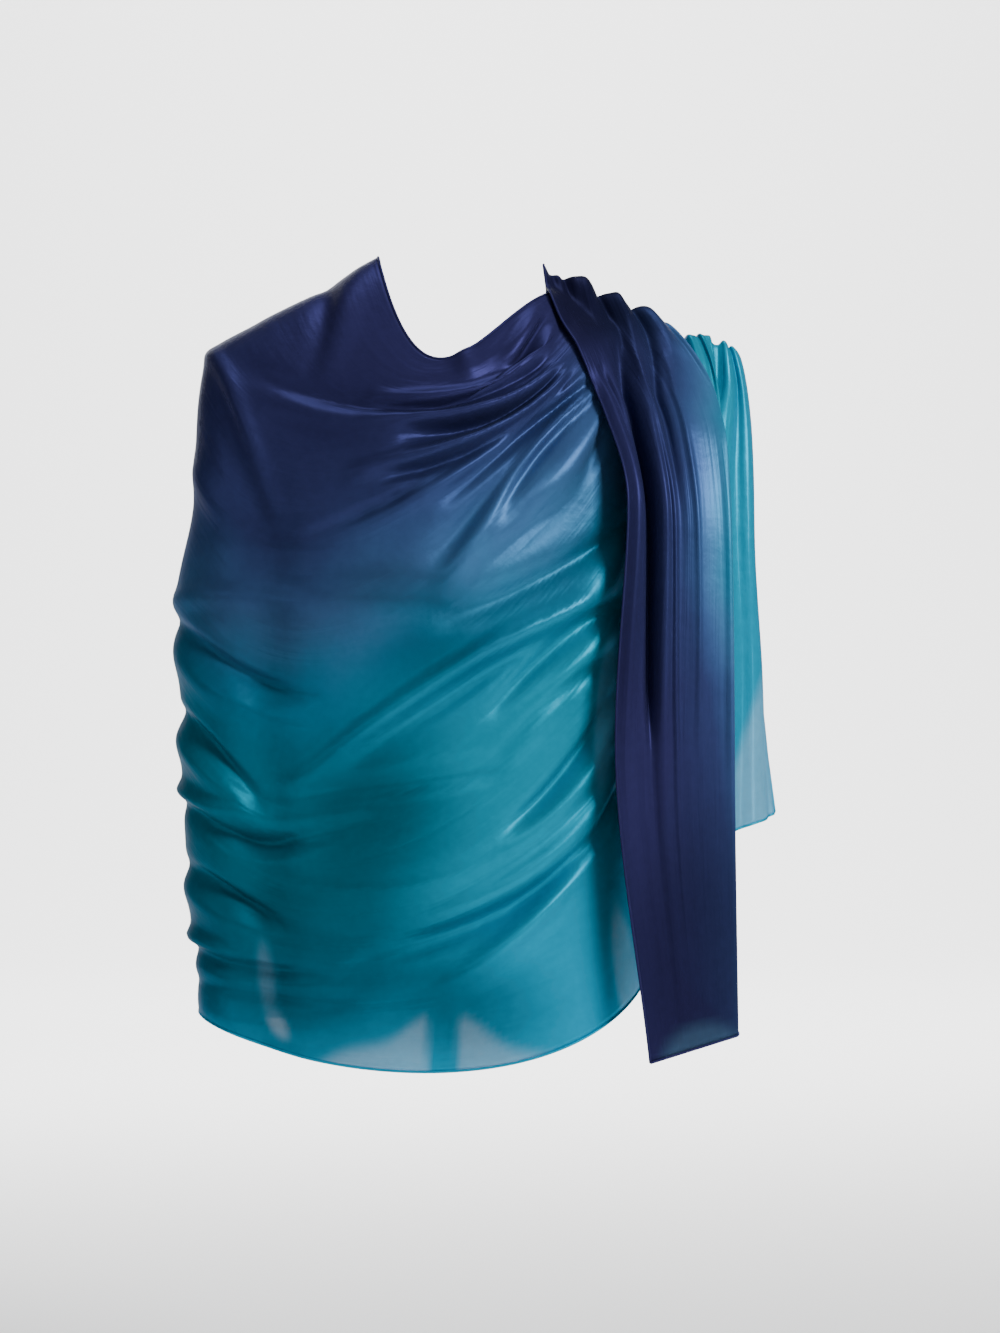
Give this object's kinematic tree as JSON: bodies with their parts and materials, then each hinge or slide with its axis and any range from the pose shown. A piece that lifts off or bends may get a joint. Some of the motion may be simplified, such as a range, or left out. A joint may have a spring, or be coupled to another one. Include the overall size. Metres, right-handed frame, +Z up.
{
  "type": "silk scarf",
  "caption": "Silk satin scarf worn as a shoulder wrap, shaded from navy to teal, with a pleated tail over the left shoulder.",
  "frame": {"origin": "middle of the line between the shoulders, where the wearer holds the cloth up", "axes": "+Z up, the front of the wrap faces -Y, the covered right arm is at -X"},
  "size_m": [0.4989, 0.2587, 0.6643],
  "materials": {
    "silk_wrap": "silk satin, dip-dyed from navy to teal",
    "silk_tail": "silk satin, dip-dyed from navy to teal"
  },
  "bodies": {
    "root": {"front_wrap": "silk_wrap", "back_wrap": "silk_wrap", "front_tail": "silk_tail"}
  },
  "joints": []
}
